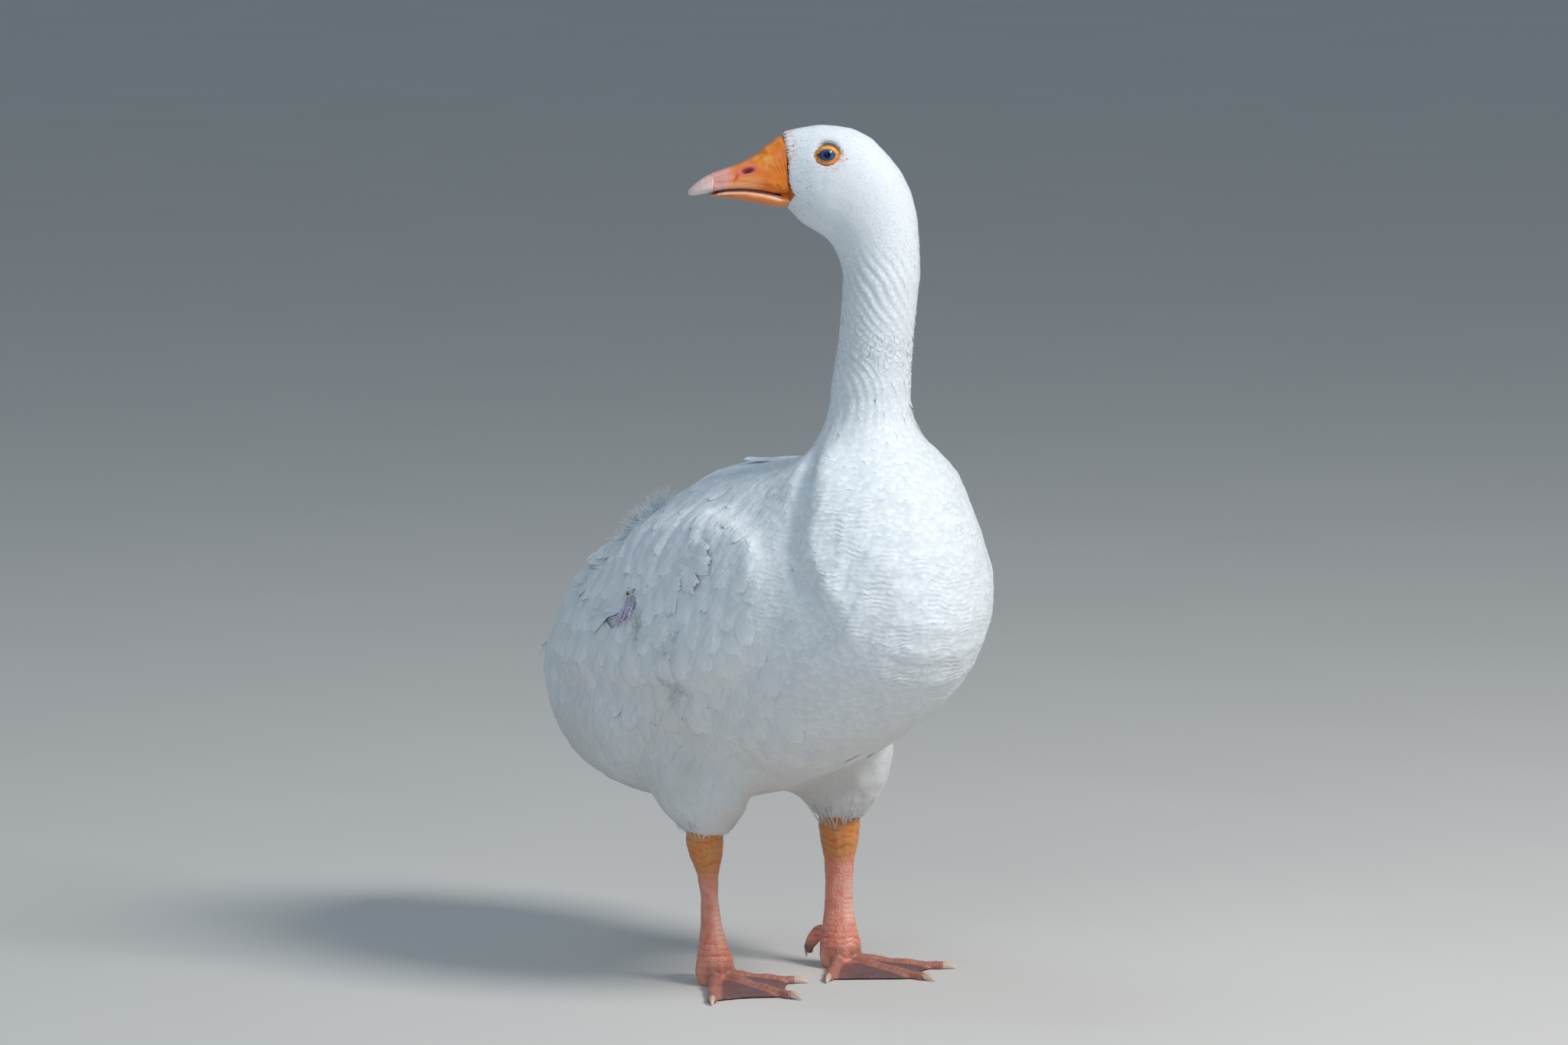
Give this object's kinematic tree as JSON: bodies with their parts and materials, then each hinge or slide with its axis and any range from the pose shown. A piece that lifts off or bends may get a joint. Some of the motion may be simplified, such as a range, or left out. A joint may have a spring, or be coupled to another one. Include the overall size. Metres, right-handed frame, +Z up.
{
  "type": "domestic goose",
  "caption": "Life-size white farm goose standing still with its head turned back over its right side; orange bill, blue eyes, webbed feet.",
  "frame": {"origin": "on the floor, in the bird's middle plane, under the middle of its length from breast to tail tip", "axes": "+Z up, -Y the way the breast faces, +X the bird's left side"},
  "size_m": [0.2819, 0.5334, 0.7202],
  "materials": {
    "plumage": "matte",
    "bill": "satin",
    "leg_skin": "satin",
    "horn": "satin",
    "eye": "gloss"
  },
  "bodies": {
    "root": {"bill_nail": "horn", "claw_hind_left": "horn", "claw_hind_right": "horn", "claw_inner_left": "horn", "claw_inner_right": "horn", "claw_middle_left": "horn", "claw_middle_right": "horn", "claw_outer_left": "horn", "claw_outer_right": "horn", "eye_left": "eye", "eye_right": "eye", "foot_left": "leg_skin", "foot_right": "leg_skin", "head": "plumage", "hind_toe_left": "leg_skin", "hind_toe_right": "leg_skin", "lower_bill": "bill", "neck_lower": "plumage", "neck_upper": "plumage", "shank_left": "leg_skin", "shank_right": "leg_skin", "tail": "plumage", "thigh_left": "plumage", "thigh_right": "plumage", "trunk": "plumage", "upper_bill": "bill", "wing_left": "plumage", "wing_right": "plumage"}
  },
  "joints": []
}
